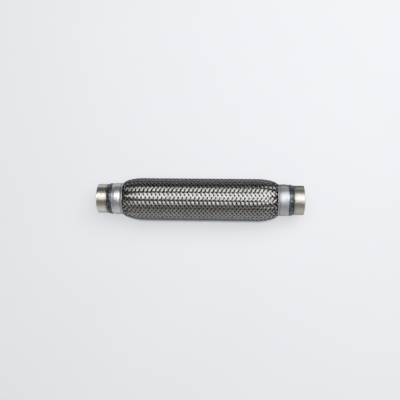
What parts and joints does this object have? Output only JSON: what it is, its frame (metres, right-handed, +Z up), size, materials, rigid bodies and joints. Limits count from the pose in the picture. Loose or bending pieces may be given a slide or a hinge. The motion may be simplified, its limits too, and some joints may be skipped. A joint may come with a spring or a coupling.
{
  "type": "exhaust flex pipe",
  "caption": "Straight braided flexible exhaust connector with crimped end collars and a plain welded stub pipe at each end.",
  "frame": {"origin": "middle of the pipe on its axis, halfway between the two cut ends", "axes": "+X along the pipe towards the outlet, +Z up as it lies on a surface"},
  "size_m": [0.34, 0.069, 0.069],
  "materials": {
    "braid_wire": "bright drawn stainless wire, woven in flat strands",
    "bellows_steel": "bright rolled thin stainless sheet",
    "liner_steel": "bright rolled stainless strip, interlocked",
    "stub_steel": "smooth drawn stainless tube with a warm heat tint",
    "weld_bead": "rippled dark blue-grey weld metal",
    "collar_steel": "satin pressed stainless sheet"
  },
  "bodies": {
    "root": {"outer_braid": "braid_wire", "bellows": "bellows_steel", "interlock_liner": "liner_steel", "inlet_stub_pipe": "stub_steel", "outlet_stub_pipe": "stub_steel", "inlet_weld_bead": "weld_bead", "outlet_weld_bead": "weld_bead", "inlet_end_collar": "collar_steel", "outlet_end_collar": "collar_steel"}
  },
  "joints": []
}
